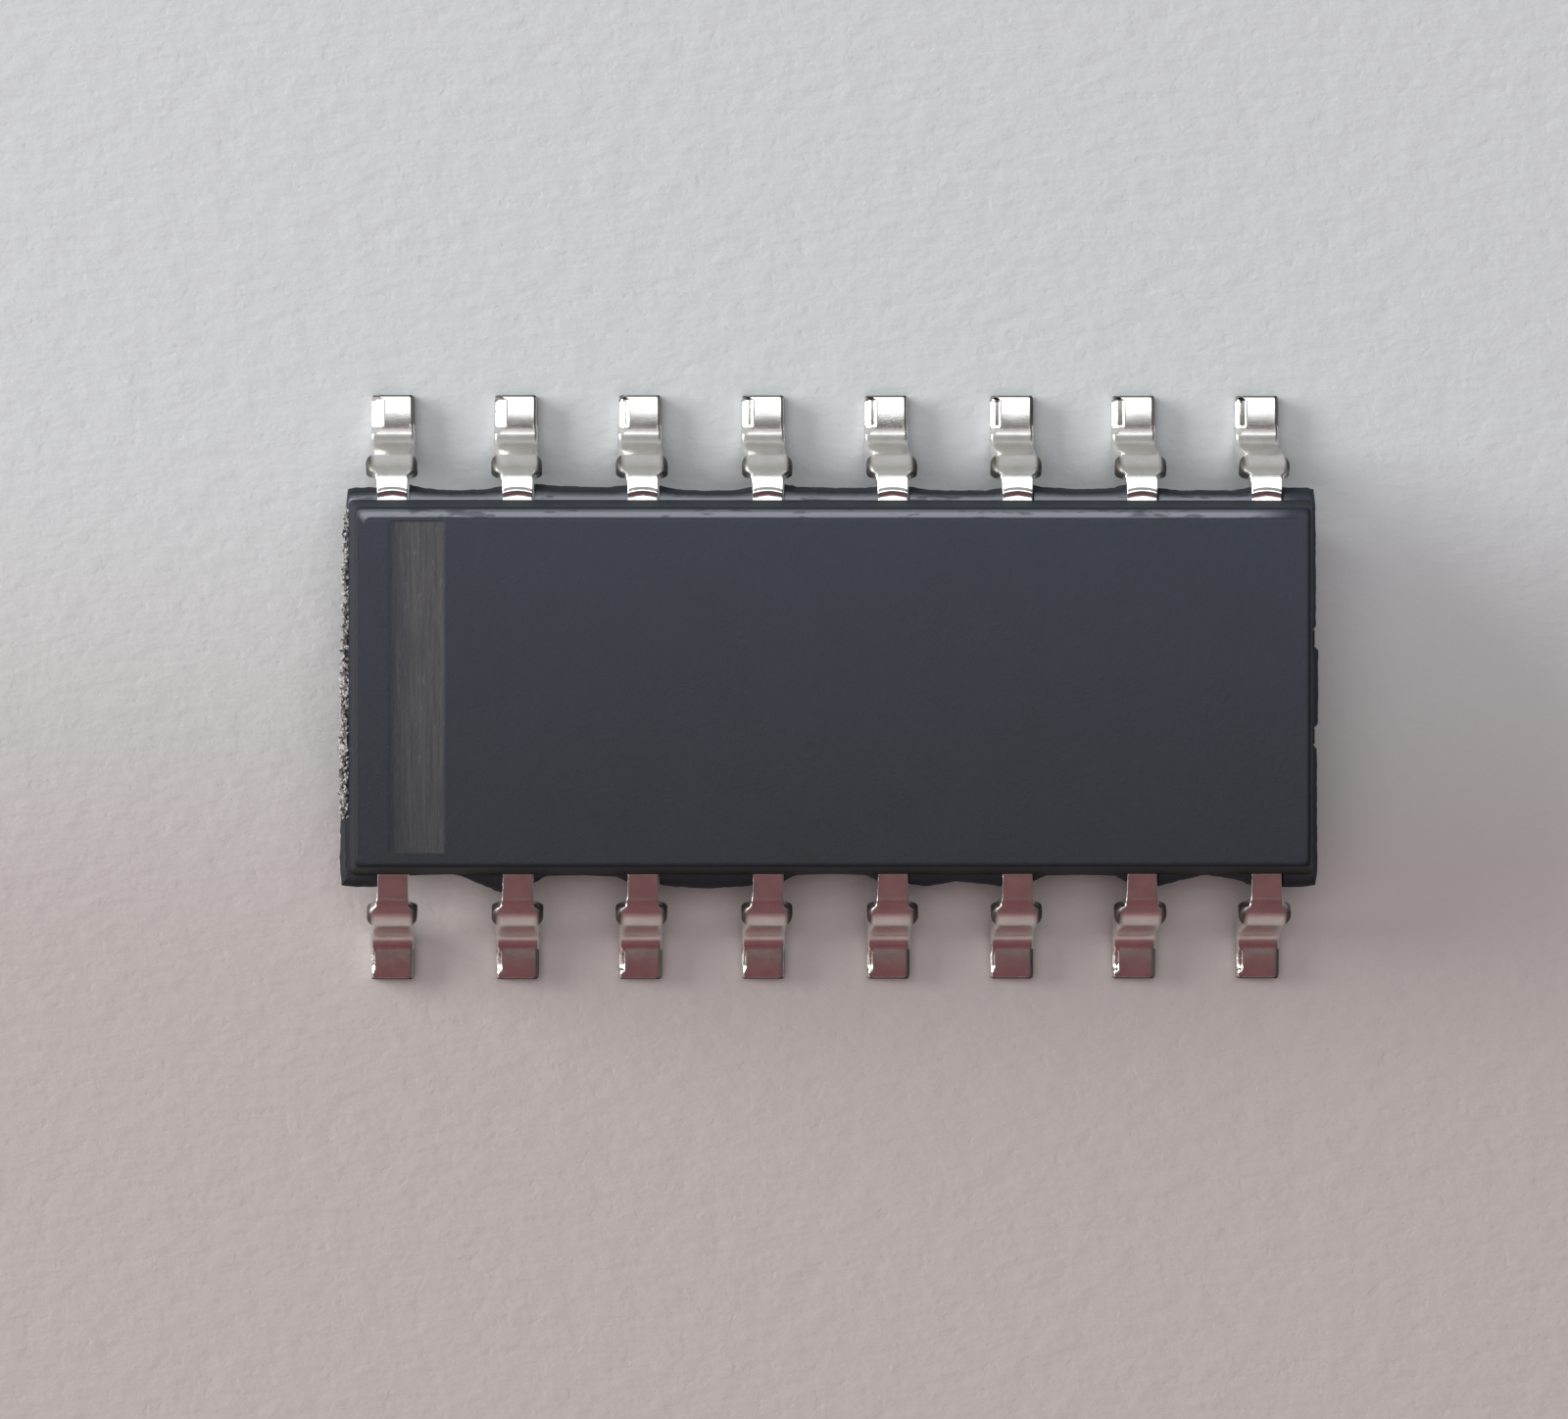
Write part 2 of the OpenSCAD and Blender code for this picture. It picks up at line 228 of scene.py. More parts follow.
class Tree:
    """Short calls for building one node tree."""

    def __init__(self, tree):
        self.tree = tree

    def add(self, kind, inputs=None, **settings):
        node = self.tree.nodes.new(kind)
        for key, value in settings.items():
            setattr(node, key, value)
        for key, value in (inputs or {}).items():
            self.put(node.inputs[key], value)
        return node

    def put(self, socket, value):
        if isinstance(value, bpy.types.NodeSocket):
            self.tree.links.new(value, socket)
        elif isinstance(value, bpy.types.Node):
            self.tree.links.new(value.outputs[0], socket)
        else:
            socket.default_value = value

    def maths(self, operation, a, b=0.0, c=0.0):
        return self.add("ShaderNodeMath", {0: a, 1: b, 2: c}, operation=operation).outputs[0]

    def times(self, product, *factors):
        for factor in factors:
            product = self.maths("MULTIPLY", product, factor)
        return product

    def times_plus(self, a, b, c):
        return self.maths("MULTIPLY_ADD", a, b, c)

    def vector(self, operation, a, b=(0, 0, 0)):
        key = "Scale" if operation == "SCALE" else 1
        return self.add("ShaderNodeVectorMath", {0: a, key: b}, operation=operation).outputs[0]

    def axes(self, place):
        return self.add("ShaderNodeSeparateXYZ", {0: place}).outputs

    def grey(self, value):
        return self.add("ShaderNodeCombineColor", {0: value, 1: value, 2: value}).outputs[0]

    def spread(self, value, low, high, to_low=0.0, to_high=1.0, smooth=True):
        return self.add("ShaderNodeMapRange", {
            "Value": value, "From Min": low, "From Max": high,
            "To Min": to_low, "To Max": to_high,
        }, interpolation_type="SMOOTHSTEP" if smooth else "LINEAR").outputs[0]

    def blend(self, factor, a, b, mode="MIX"):
        node = self.tree.nodes.new("ShaderNodeMix")
        node.data_type = "RGBA"
        node.blend_type = mode
        self.put(node.inputs[0], factor)
        for socket, value in ((node.inputs[6], a), (node.inputs[7], b)):
            self.put(socket, (*value, 1) if isinstance(value, tuple) and len(value) == 3 else value)
        return node.outputs[2]


class Paint(Tree):
    """A new material: its nodes, its shader's inputs and the object coordinates in millimetres."""

    def __init__(self, name, base, roughness, metallic=0.0):
        self.material = bpy.data.materials.new(name)
        self.material.use_nodes = True
        self.material.diffuse_color = (*base, 1)
        super().__init__(self.material.node_tree)
        self.inputs = self.tree.nodes["Principled BSDF"].inputs
        self.give("Base Color", (*base, 1))
        self.give("Roughness", roughness)
        self.give("Metallic", metallic)
        self.where = self.vector("SCALE", self.add("ShaderNodeTexCoord").outputs["Object"], 1 / MM)

    def give(self, name, value):
        self.put(self.inputs[name], value)

    def mask(self, name):
        return self.add("ShaderNodeAttribute", attribute_name=name).outputs["Fac"]

    def noise(self, scale, detail=3.0, roughness=0.5):
        """Noise with one scale per millimetre, or with three that stretch it along the axes."""
        where = self.where
        if isinstance(scale, tuple):
            where, scale = self.vector("MULTIPLY", where, scale), 1.0
        return self.add("ShaderNodeTexNoise", {
            "Vector": where, "Scale": scale, "Detail": detail, "Roughness": roughness}).outputs[0]

    def bump(self, height, distance, strength=1.0):
        """Relief of a height between 0 and 1, over a distance in millimetres."""
        self.give("Normal", self.add("ShaderNodeBump", {
            "Strength": strength, "Distance": distance * MM, "Height": height}))


def geometry_tree(name, sizes):
    """A Geometry Nodes tree with named inputs: {name: kind of socket}."""
    tree = bpy.data.node_groups.new(name, "GeometryNodeTree")
    for label, kind in {"Geometry": "Geometry", **sizes}.items():
        tree.interface.new_socket(label, in_out="INPUT", socket_type="NodeSocket" + kind)
    tree.interface.new_socket("Geometry", in_out="OUTPUT", socket_type="NodeSocketGeometry")
    made = Tree(tree)
    return made, made.add("NodeGroupInput").outputs, made.add("NodeGroupOutput")


def end_tree(tree, geometry, finish, output):
    """The end of each tree: real geometry with its material."""
    real = tree.add("GeometryNodeRealizeInstances", {0: geometry})
    painted = tree.add("GeometryNodeSetMaterial", {"Geometry": real, "Material": finish})
    tree.put(output.inputs[0], painted)
    return tree.tree


def add_tree(piece, tree, values):
    """Adds a tree as a modifier and sets its inputs by their sockets' identifiers."""
    modifier = piece.modifiers.new(tree.name, "NODES")
    modifier.node_group = tree
    for item in tree.interface.items_tree:
        if item.item_type == "SOCKET" and item.in_out == "INPUT" and item.name in values:
            modifier[item.identifier] = values[item.name]


def jitter(tree, sizes):
    """Noise over the places of the points, between -0.5 and 0.5 along each axis."""
    cloud = tree.add("ShaderNodeTexNoise", {
        "Vector": tree.add("GeometryNodeInputPosition"), **sizes,
    }, noise_dimensions="4D" if "W" in sizes else "3D")
    return tree.vector("SUBTRACT", cloud.outputs["Color"], (0.5,) * 3)


# ---- materials

SHADED_RESIN = (0.004, 0.004, 0.005)
PAINTED_EDGE_HIGHLIGHT = (0.23, 0.255, 0.295)
PAINTED_SHADE_TINT = (0.12,) * 3
TARNISH = (0.42, 0.40, 0.37)
BARE_CUT_AND_SHADE = (0.10, 0.09, 0.08)
PAPER_FROM, PAPER_TO = -3.4, 3.0


def compound_material(body):
    """Black moulding compound: sparked grain, glassy flash, broken edges and a burnt stripe, with
    painted shade on the walls, a painted highlight along the far edge, and painted shade and light
    running from the near side to the far side.
    """
    paint = Paint("moulding_compound", body.compound, body.roughness)
    flash, broken, marked, dull = (paint.mask(name) for name in BODY_MASKS)
    grain = paint.noise(26.0, 4.0, 0.65)
    fine = paint.noise(90.0, 2.0, 0.6)
    cloud = paint.noise(1.3, 3.0, 0.55)
    streak = paint.noise((34.0, 1.6, 1.0), 5.0, 0.6)
    speck = paint.noise((26.0, 9.0, 1.0), 3.0, 0.7)
    breaks = paint.noise((2.2, 14.0, 14.0), 3.0, 0.7)
    along, across, _ = paint.axes(paint.where)

    base, stripe = tuple(body.compound), tuple(body.stripe)
    shown = paint.blend(paint.spread(cloud, 0.3, 0.7), shade(base, 0.94), shade(base, 1.06))
    shown = paint.blend(paint.spread(fine, 0.62, 0.8, 0.0, 0.5), shown, shade(base, 2.6))
    # Painted shade and light: darker towards the near long side, lighter towards the far one
    shown = paint.blend(paint.spread(across, -WALL_Y, WALL_Y, smooth=False),
                        paint.blend(0.3, shown, SHADED_RESIN),
                        paint.blend(0.3, shown, shade(base, 3.0)))
    outer = paint.spread(along, -(body.stripe_from + body.stripe_width) / MM,
                         -(body.stripe_from + 0.55 * body.stripe_width) / MM)
    strength = paint.times(marked, paint.spread(streak, 0.3, 0.7, 0.5, 1.0),
                           paint.times_plus(outer, 0.5, 0.5),
                           paint.spread(across, -WALL_Y, 1.2, 0.55, 1.0))
    burnt = paint.blend(paint.spread(speck, 0.55, 0.75), stripe, shade(stripe, 1.5))
    shown = paint.blend(strength, shown, burnt)
    # Painted highlight: a pale bluish tone on the glossy flash and brow of the far edge, broken
    # into dashes by noise
    worn = paint.times(flash, paint.spread(breaks, 0.36, 0.46, 0.25, 1.0))
    # Below: the painted edge highlight, the painted shade of the walls from the fourth mask, and
    # darker broken flash
    for mask, share, tone in ((worn, 0.9, PAINTED_EDGE_HIGHLIGHT), (dull, 0.9, shade(base, 0.2)),
                              (broken, 0.8, shade(base, 0.5))):
        shown = paint.blend(paint.times(mask, share), shown, tone)
    paint.give("Base Color", shown)
    # Painted shade: the fourth mask also dims the walls' specular reflection
    paint.give("Specular Tint", paint.blend(dull, (1.0,) * 3, PAINTED_SHADE_TINT))

    rough = paint.grey(paint.times_plus(grain, 0.16, body.roughness - 0.08))
    for mask, value in ((flash, body.gloss), (broken, 0.75), (dull, 0.8), (marked, 0.72)):
        rough = paint.blend(mask, rough, (value,) * 3)
    paint.give("Roughness", paint.add("ShaderNodeSeparateColor", {0: rough}).outputs[0])

    relief = paint.times(paint.times_plus(fine, 0.4, grain), paint.times_plus(flash, -0.75, 1.0))
    relief = paint.times_plus(broken, paint.noise(45.0, 3.0, 0.7), relief)
    relief = paint.times_plus(marked, streak, relief)
    paint.bump(relief, 0.006, 0.8)
    return paint.material


def plating_material(lead):
    """Tin plating: bright and slightly wavy, scuffed where it was bent, bare at the cut stubs and
    toes, with painted shade along the feet's +X edge.
    """
    paint = Paint("tin_plating", lead.plating, lead.roughness, 1.0)
    sheared, strained = (paint.mask(name) for name in LEAD_MASKS)
    cloud = paint.noise(5.0, 3.0, 0.55)
    fine = paint.noise(70.0, 3.0, 0.6)
    drag = paint.noise((60.0, 6.0, 6.0), 3.0, 0.6)
    base = tuple(lead.plating)
    shown = paint.blend(paint.spread(cloud, 0.35, 0.65), shade(base, 0.9), base)
    shown = paint.blend(paint.spread(fine, 0.6, 0.75, 0.0, 0.35), shown, TARNISH)
    # The first lead mask darkens the bare cut stubs and toes, and the feet's +X edge as painted
    # shade
    paint.give("Base Color", paint.blend(paint.times(sheared, 0.95), shown, BARE_CUT_AND_SHADE))
    rough = paint.times_plus(fine, 0.14, lead.roughness - 0.05)
    rough = paint.times_plus(strained, 0.2, rough)
    paint.give("Roughness", paint.times_plus(sheared, 0.3, rough))
    paint.bump(paint.times_plus(drag, 0.6, fine), 0.0004)
    return paint.material


def metal_material(name, base, roughness, grain, cut_from=None):
    """A plain metal with a drawn or rolled grain, darkened to a twentieth of its colour beyond
    cut_from along X, at the body's ends.
    """
    paint = Paint(name, base, roughness, 1.0)
    rolled = paint.noise((4.0, 60.0, 60.0), 3.0, 0.6)
    cloud = paint.noise(grain, 3.0, 0.6)
    shown = paint.blend(paint.spread(cloud, 0.35, 0.7), shade(base, 0.78), base)
    if cut_from:
        along = paint.maths("ABSOLUTE", paint.axes(paint.where)[0])
        shown = paint.blend(paint.spread(along, cut_from, cut_from + 0.01), shown,
                            shade(base, 0.05))
    paint.give("Base Color", shown)
    paint.give("Roughness", paint.times_plus(rolled, 0.2, roughness - 0.1))
    paint.bump(rolled, 0.002, 0.5)
    return paint.material


def silicon_material():
    """Polished silicon with a plain grid of blocks and lines in its top."""
    paint = Paint("polished_silicon", (0.10, 0.10, 0.13), 0.18, 0.6)
    blocks = paint.add("ShaderNodeTexVoronoi", {"Vector": paint.where, "Scale": 9.0},
                       distance="CHEBYCHEV", feature="F1")
    lines = paint.add("ShaderNodeTexBrick", {
        "Vector": paint.where, "Scale": 14.0, "Mortar Size": 0.03,
        "Color1": (0.13, 0.12, 0.19, 1), "Color2": (0.10, 0.16, 0.15, 1),
        "Mortar": (0.45, 0.38, 0.28, 1)})
    tone = paint.grey(paint.spread(blocks.outputs["Distance"], 0.1, 0.6, 0.7, 1.2))
    paint.give("Base Color", paint.blend(1.0, lines.outputs["Color"], tone, "MULTIPLY"))
    paint.bump(lines.outputs["Fac"], 0.001, 0.4)
    return paint.material


def adhesive_material():
    """Silver-filled adhesive: grey paste with bright flakes."""
    paint = Paint("silver_adhesive", (0.5, 0.51, 0.53), 0.45, 0.5)
    flakes = paint.noise(80.0, 2.0, 0.7)
    paint.give("Base Color", paint.blend(paint.spread(flakes, 0.5, 0.7), (0.36, 0.37, 0.39),
                                         (0.74, 0.75, 0.77)))
    paint.give("Roughness", paint.spread(flakes, 0.4, 0.7, 0.55, 0.3))
    paint.bump(flakes, 0.003, 0.6)
    return paint.material


def crumb_material(body):
    """Torn compound: pale filler dust over the dark resin."""
    paint = Paint("torn_compound", body.crumb, 0.8)
    dust = paint.noise(30.0, 3.0, 0.7)
    paint.give("Base Color", paint.blend(paint.spread(dust, 0.36, 0.56), shade(body.compound, 2.0),
                                         tuple(body.crumb)))
    paint.bump(dust, 0.006, 0.8)
    return paint.material


def paper_material(stage):
    """Pale paper with soft fibres, its colour running as painted light: cooler and lighter behind
    the chip, darker and warmer before it.
    """
    paint = Paint("pale_paper", stage.paper_far, 0.85)
    # Painted light: the floor runs from the near colour to the far colour along Y
    tone = paint.spread(paint.axes(paint.where)[1], PAPER_FROM, PAPER_TO)
    paint.give("Base Color", paint.blend(tone, tuple(stage.paper_near), tuple(stage.paper_far)))
    felt = paint.noise(2.4, 5.0, 0.6)
    fibre = paint.noise((3.2, 7.04, 3.2), 3.0, 0.5)
    pits = paint.spread(paint.noise(6.5, 2.0, 0.5), 0.30, 0.42)
    relief = paint.times_plus(pits, 0.1, paint.times_plus(fibre, 0.8, felt))
    paint.bump(relief, 0.034, 0.5)
    paint.give("Specular IOR Level", 0.2)
    return paint.material


# ---- moulded body

BROW_DROP = 0.006
CORNER_RADIUS = 0.06
BEND_STEPS = 5
GRID_STEP = 0.045
RIM = 0.04
EJECTOR_X, EJECTOR_RADIUS, EJECTOR_DEPTH = 2.8, 0.51, 0.03
# Half the opening in the flash for a lead, with the grid lines at its two edges
LEAD_CUT, CUT_LINES, TIE_LINES = 0.155, (0.152, 0.158), (0.08, 0.085)
# Share of the pitch that a lead's half opening takes
CUT_SHARE = 0.122

# The flash from its underside up: (share of its reach, height over the underside, smooth, broken)
FLASH_RINGS = (
    (0.55, 0.0, 1.0, 0.0), (0.90, 0.004, 1.0, 0.4), (1.00, 0.030, 0.4, 1.0),
    (1.00, 0.065, 0.0, 1.0), (0.95, 0.100, 0.0, 1.0), (0.86, 0.130, 0.0, 1.0),
    (0.74, 0.153, 0.0, 1.0), (0.60, 0.168, 0.0, 1.0), (0.50, 0.178, 0.3, 0.6),
    (0.45, 0.1825, 0.3, 0.4), (0.20, 0.1850, 1.0, 0.0), (0.02, 0.1866, 1.0, 0.0),
)
# The brow along the top, from the edge inwards: (share of its width, fall, smooth); on the far
# side, smooth also places the painted edge highlight
BROW_RINGS = (
    (0.15, 0.85 * BROW_DROP, 1.0), (0.85, 0.15 * BROW_DROP, 1.0), (1.0, 0.0005, 0.5),
    (1.15, 0.0045, 0.0), (1.35, 0.0045, 0.0), (1.55, 0.0005, 0.0),
)


def body_lines(body):
    """Grid lines along X and Y, closer where a lead or a tie bar leaves the body."""
    half_x, half_y = body.half_length / MM, body.half_width / MM
    inset = wall_insets(body, BODY_HIGH.z)[0]
    inset += BROW_RINGS[-1][0] * body.brow / MM + 0.8 * body.edge_radius / MM
    scale, step = 1 - inset / half_x, 0.004
    xs, ys = {-half_x, half_x}, {-half_y, half_y, 0.0}
    for middle in map(column_x, range(SIDE_LEADS)):
        for half in (*CUT_LINES, 0.08, 0.0):
            xs |= {middle - half, middle + half}
    for edge in (body.stripe_from / MM, body.stripe_from / MM + body.stripe_width / MM):
        xs |= {-edge / scale, -(edge - step) / scale}
    for half in TIE_LINES:
        ys |= {-TIE_Y - half, -TIE_Y + half, TIE_Y - half, TIE_Y + half}
    for inner in (0.015, RIM):
        xs |= {inner - half_x, half_x - inner}
        ys |= {inner - half_y, half_y - inner}
    return fill_lines(xs), fill_lines(ys)


def fill_lines(lines):
    """The lines in order, with even ones wherever two stand further apart than the grid's step."""
    kept = thin(lines, 0.0015)
    out = [kept[0]]
    for value in kept[1:]:
        start = out[-1]
        parts = max(1, math.ceil((value - start) / GRID_STEP - 1e-6))
        out += [start + (value - start) * (k + 1) / parts for k in range(parts)]
    return np.array(out)


def wall_insets(body, z):
    """How far the end and side walls stand in from the parting line at a height, in millimetres."""
    away = abs(z - LEAD_HIGH)
    return away * math.tan(body.end_draft), away * math.tan(body.side_draft)


# Reach of the flash in each gap: (places along the gap, shares of the even reach)
FAR_GAPS = (
    ((0, 0.15, 0.45, 0.8, 1), (1.25, 0.95, 0.78, 0.85, 1.15)),
    ((0, 0.2, 0.5, 0.8, 1), (1.3, 1.15, 1.08, 1.05, 1.2)),
    ((0, 0.2, 0.5, 0.8, 1), (1.2, 0.85, 0.75, 0.8, 1.1)),
    ((0, 0.12, 0.5, 0.85, 1), (1.3, 1.1, 1, 1, 1.1)),
    ((0, 0.2, 0.5, 0.8, 1), (1.1, 0.85, 0.8, 0.8, 1)),
    ((0, 0.12, 0.5, 0.85, 1), (1.25, 1.05, 0.9, 1, 1.3)),
    ((0, 0.2, 0.5, 0.8, 1), (1, 0.8, 0.85, 0.8, 1.1)),
)
NEAR_GAPS = (
    ((0, 0.45, 0.55, 0.85, 1), (0.1, 0, 0.15, 1.1, 1.5)),
    ((0, 0.12, 0.5, 0.88, 1), (0.7, 0.15, 0.1, 0.2, 0.7)),
    ((0, 0.15, 0.5, 0.85, 1), (0.8, 1, 1.15, 1, 0.9)),
    ((0, 0.12, 0.5, 0.88, 1), (0.6, 0.1, 0, 0.1, 0.6)),
    ((0, 0.2, 0.5, 0.8, 1), (0.8, 1, 0.6, 0.8, 1)),
    ((0, 0.12, 0.5, 0.88, 1), (0.6, 0.15, 0.1, 0.15, 0.7)),
    ((0, 0.2, 0.5, 0.8, 1), (1, 0.6, 0.1, 0.4, 0.9)),
)


def side_reach(x, far, body):
    """Reach of the flash on a long side at x, in millimetres; nothing where a lead comes out."""
    reach = body.side_flash / MM
    first = column_x(0)
    column = round((x - first) / PITCH)
    if 0 <= column < SIDE_LEADS and abs(x - first - column * PITCH) < LEAD_CUT:
        return 0.0
    if x < first or x > first + (SIDE_LEADS - 1) * PITCH:
        return reach * (1.0 if x < first else 1.05)
    gap = int((x - first) / PITCH)
    along = ((x - first) / PITCH - gap - CUT_SHARE) / (1 - 2 * CUT_SHARE)
    return reach * float(np.interp(along, *(FAR_GAPS if far else NEAR_GAPS)[gap]))


def end_reach(y, right, body):
    """Reach of the flash on a short side at y; next to nothing in the notches of the tie bars."""
    reach = body.end_flash / MM
    notch = clamp((abs(abs(y) - TIE_Y) - 0.065) / 0.05)
    notch = notch * notch * (3 - 2 * notch)
    if right:
        return reach * (1.35 if abs(y) < TIE_Y else 1.0 - 0.12 * y) * notch
    return reach * (1.25 - 0.35 * y) * max(notch, 0.35)


def body_rings(body):
    """The body's skin from its underside up: (share of reach, inset, height, masks, far drop)."""
    radius, brow = body.edge_radius / MM, body.brow / MM
    low, top = BODY_LOW.z, BODY_HIGH.z
    under = LEAD_HIGH - body.sheet / MM
    sweep = math.pi / 2 - body.side_draft
    cut = radius / math.tan(math.pi / 4 + body.side_draft / 2)
    turns = [sweep * k / BEND_STEPS for k in range(BEND_STEPS + 1)]
    bend = [(cut - radius * math.sin(turn), radius * (1 - math.cos(turn))) for turn in turns]
    # A ring's masks are (smooth, rough, dark); dark becomes the painted shade of the walls
    plain, dark = (0.0, 0.0, 0.0), (0.0, 0.0, 1.0)
    rings = [(0.0, inset, low + rise, plain if k < 2 else dark, 0.0)
             for k, (inset, rise) in enumerate(bend)]
    rings += [(0.0, 0.0, z, dark, 0.0) for z in np.linspace(rings[-1][2], under, 5)[1:]]
    rings += [(share, 0.0, under + rise, (smooth, rough, 0.0), 0.0)
              for share, rise, smooth, rough in FLASH_RINGS]
    rings.append((0.0, 0.0, LEAD_HIGH + 0.004, (0.3, 0.0, 0.5), 0.0))
    rings += [(0.0, 0.0, z, dark, 0.0)
              for z in np.linspace(LEAD_HIGH + 0.03, top - bend[-1][1] - BROW_DROP, 6)]
    for k in reversed(range(BEND_STEPS)):
        # Fillet rings near the wall get painted shade; those near the top get less, and the smooth
        # value of the painted edge highlight
        masks = (0.0, 0.0, 0.8) if k > 1 else (0.6, 0.0, 0.2)
        rings.append((0.0, bend[k][0], top - bend[k][1], masks, BROW_DROP))
    rings += [(0.0, cut + share * brow, top, (smooth, 0.0, 0.0), fall)
              for share, fall, smooth in BROW_RINGS]
    return rings


def far_share(y, side, body):
    """1 along the far long edge, where the brow falls and the painted edge highlight lies; 0 past
    its corners.
    """
    if side == "far":
        return 1.0
    if side == "near" or y < 0:
        return 0.0
    return clamp(1 - (body.half_width / MM - y) / 0.08)


def round_corner(x, y, half_x, half_y):
    """Moves a point on a rectangle's outline onto the same outline with round corners."""
    inner_x, inner_y = half_x - CORNER_RADIUS, half_y - CORNER_RADIUS
    q = np.array([np.clip(x, -inner_x, inner_x), np.clip(y, -inner_y, inner_y)])
    d = np.array([x, y]) - q
    size = np.linalg.norm(d)
    if abs(x) > inner_x and abs(y) > inner_y and size > 0:
        return q + d * CORNER_RADIUS / size
    return np.array([x, y])


def body_skin(body):
    """Points, faces and masks of the moulded body, as rings between two gridded caps."""
    xs, ys = body_lines(body)
    half_x, half_y = body.half_length / MM, body.half_width / MM
    outline = [(x, -half_y, "near") for x in xs[:-1]]
    outline += [(half_x, y, "right") for y in ys[:-1]]
    outline += [(x, half_y, "far") for x in xs[:0:-1]]
    outline += [(-half_x, y, "left") for y in ys[:0:-1]]
    count = len(outline)
    rings, points, masks = body_rings(body), [], []

    def scales(inset, z):
        end_inset, side_inset = wall_insets(body, z)
        return 1 - (inset + end_inset) / half_x, 1 - (inset + side_inset) / half_y

    # The reach of each flash fades within the rim of the corners
    posts = []
    for x, y, side in outline:
        end = end_reach(y, x > 0, body) * clamp((abs(x) - (half_x - RIM)) / RIM)
        out = side_reach(x, y > 0, body) * clamp((abs(y) - (half_y - RIM)) / RIM)
        posts.append((x, y, end, out, out if side in ("near", "far") else end,
                      far_share(y, side, body), clamp((half_x - 0.15 - x) / 0.4)))

    # Each ring's dark value, times 0.6, becomes the fourth mask: painted shade
    for share, inset, z, (smooth, rough, dark), drop in rings:
        scale_x, scale_y = (1, 1) if share else scales(inset, z)
        for x, y, end, out, reach, far, fade in posts:
            px, py = round_corner(x * scale_x + math.copysign(share * end, x),
                                  y * scale_y + math.copysign(share * out, y),
                                  half_x * scale_x + share * end, half_y * scale_y + share * out)
            points.append((px, py, z - far * drop))
            # The flash mask: the smooth flash on the far side only, fading out towards the right
            # end; it carries the painted edge highlight
            masks.append((smooth * far * fade if reach > 0 or not share else 0.0,
                          rough * min(1.0, reach / 0.03), 0.0, 0.6 * dark))
    faces = ring_faces(len(rings), count)

    ring_of = {(round(x, 6), round(y, 6)): k for k, (x, y, _) in enumerate(outline)}
    stripe_to = (body.stripe_from + body.stripe_width) / MM
    for last, upward in ((0, False), (len(rings) - 1, True)):
        inset, z = rings[last][1:3]
        scale_x, scale_y = scales(inset, z)
        index = {}
        for i, x in enumerate(xs):
            for j, y in enumerate(ys):
                key = (round(x, 6), round(y, 6))
                if key in ring_of:
                    index[i, j] = last * count + ring_of[key]
                    continue
                px, py, pz, mark = x * scale_x, y * scale_y, z, 0.0
                if upward:
                    inward = min(half_x * scale_x - abs(px), half_y * scale_y - abs(py)) / 0.3
                    sink = 0.0012 * (1 + noise.noise(Vector((px * 0.9, py * 0.9, 3.0))))
                    pz -= sink * min(1.0, inward)
                    if -stripe_to - 1e-4 < px < -body.stripe_from / MM - 0.003:
                        pz -= body.stripe_depth / MM
                        mark = 1.0
                else:
                    for middle in (-EJECTOR_X, EJECTOR_X):
                        away = math.hypot(px - middle, py)
                        pz += EJECTOR_DEPTH * clamp((EJECTOR_RADIUS - away) / 0.03)
                index[i, j] = len(points)
                points.append((px, py, pz))
                masks.append((0.0, 0.0, mark, 0.0))
        for i in range(len(xs) - 1):
            for j in range(len(ys) - 1):
                quad = (index[i, j], index[i + 1, j], index[i + 1, j + 1], index[i, j + 1])
                faces.append(quad if upward else quad[::-1])
    return points, faces, dict(zip(BODY_MASKS, zip(*masks)))


def break_tree():
    """Geometry Nodes: crumbles the broken edges of the flash."""
    tree, given, output = geometry_tree("Broken Flash", {
        "Break Depth": "Float", "Break Grain": "Float", "Seed": "Int", "Finish": "Material"})
    mask = tree.add("GeometryNodeInputNamedAttribute", {"Name": "broken"}, data_type="FLOAT")
    crumbs = jitter(tree, {"W": given["Seed"], "Detail": 3.0, "Roughness": 0.65,
                           "Scale": tree.maths("DIVIDE", 1.0, given["Break Grain"])})
    flat = tree.vector("MULTIPLY", crumbs, (2.6, 2.6, 1.4))
    moved = tree.vector("SCALE", flat, tree.times(mask, given["Break Depth"]))
    broken = tree.add("GeometryNodeSetPosition", {"Geometry": given["Geometry"], "Offset": moved})
    return end_tree(tree, broken, given["Finish"], output)


